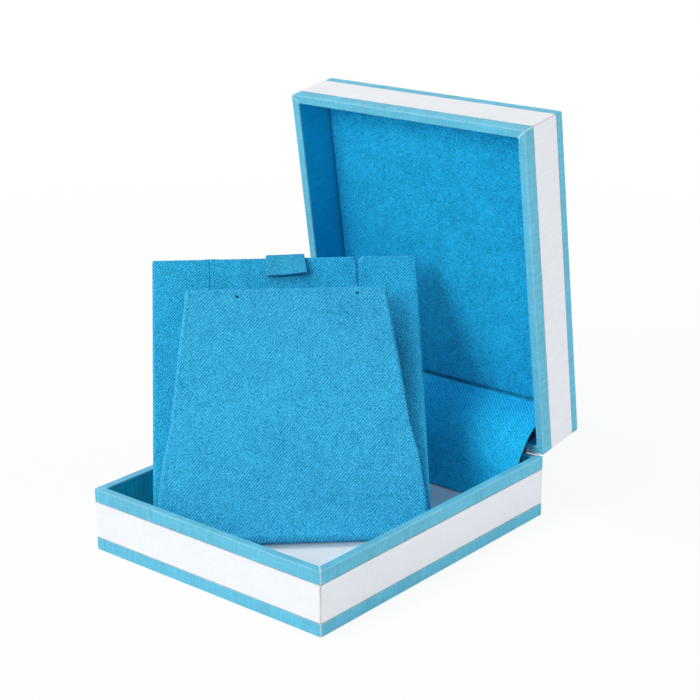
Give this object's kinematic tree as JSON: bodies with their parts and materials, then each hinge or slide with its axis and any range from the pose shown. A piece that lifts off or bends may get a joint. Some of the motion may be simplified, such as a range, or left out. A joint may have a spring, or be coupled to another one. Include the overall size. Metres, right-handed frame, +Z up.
{
  "type": "necklace box",
  "caption": "Hinged paper-wrapped presentation box with a striped tray and lid and a suede display card with slits, pull tab and folding flap.",
  "frame": {"origin": "middle of the tray's underside", "axes": "+Z up, +X along the front wall to the right, +Y from the front wall to the hinge"},
  "size_m": [0.0913, 0.1049, 0.1069],
  "materials": {
    "cyan_paper": "matt printed paper with a fine linen emboss",
    "white_paper": "matt white paper with a fine linen emboss",
    "grey_board": "plain grey board",
    "white_card": "smooth white card",
    "blue_suede": "napped microsuede with a fine twill",
    "bright_steel": "bright nickel-plated steel",
    "spring_steel": "blued spring steel"
  },
  "bodies": {
    "tray": {"tray_core": "grey_board", "tray_rim_paper": "cyan_paper", "tray_band_paper": "white_paper", "tray_foot_paper": "cyan_paper", "tray_base_paper": "white_paper", "tray_floor_card": "white_card", "tray_hinge_leaf": "bright_steel", "tray_hinge_rivet_1": "bright_steel", "tray_hinge_rivet_2": "bright_steel", "tray_hinge_rivet_3": "bright_steel", "tray_hinge_rivet_4": "bright_steel", "hinge_pin": "bright_steel", "hinge_spring_left": "spring_steel", "hinge_spring_right": "spring_steel", "hinge_cover": "blue_suede"},
    "lid": {"lid_core": "grey_board", "lid_rim_paper": "cyan_paper", "lid_band_paper": "white_paper", "lid_top_paper": "cyan_paper", "lid_liner_board": "grey_board", "lid_liner_pad": "blue_suede", "lid_hinge_leaf": "bright_steel", "lid_hinge_rivet_1": "bright_steel", "lid_hinge_rivet_2": "bright_steel", "lid_hinge_rivet_3": "bright_steel", "lid_hinge_rivet_4": "bright_steel"},
    "card_fold": {"card_fold_spine": "blue_suede"},
    "card": {"card_panel_board": "grey_board", "card_panel_suede": "blue_suede", "card_pull_tab": "blue_suede"},
    "card_flap": {"card_flap_board": "grey_board", "card_flap_suede": "blue_suede"}
  },
  "joints": [
    {"name": "lid_hinge", "type": "hinge", "parent": "tray", "child": "lid", "pos_m": [0, 0.04445, 0.0166], "axis": [1, 0, 0], "range_deg": [0, 81.7], "deforming": ["hinge_cover", "hinge_spring_left", "hinge_spring_right"]},
    {"name": "card_lift_out", "type": "hinge", "parent": "tray", "child": "card_fold", "pos_m": [0.07827, -0.09477, 0.0026], "axis": [0.7266, 0.6871, 0], "range_deg": [0, 175.3]},
    {"name": "card_turn_over", "type": "hinge", "parent": "card_fold", "child": "card", "pos_m": [0.00544, -0.01776, 0.0071], "axis": [0.7266, 0.6871, 0], "range_deg": [0, 138]},
    {"name": "flap_fold", "type": "hinge", "parent": "card", "child": "card_flap", "pos_m": [0.00487, -0.01715, 0.00613], "axis": [0.7266, 0.6871, 0], "range_deg": [-3.5, 30]}
  ],
  "couplings": [
    {"joint": "card_lift_out", "follows": "lid_hinge", "ratio": 2.1456},
    {"joint": "card_turn_over", "follows": "lid_hinge", "ratio": 1.689}
  ]
}
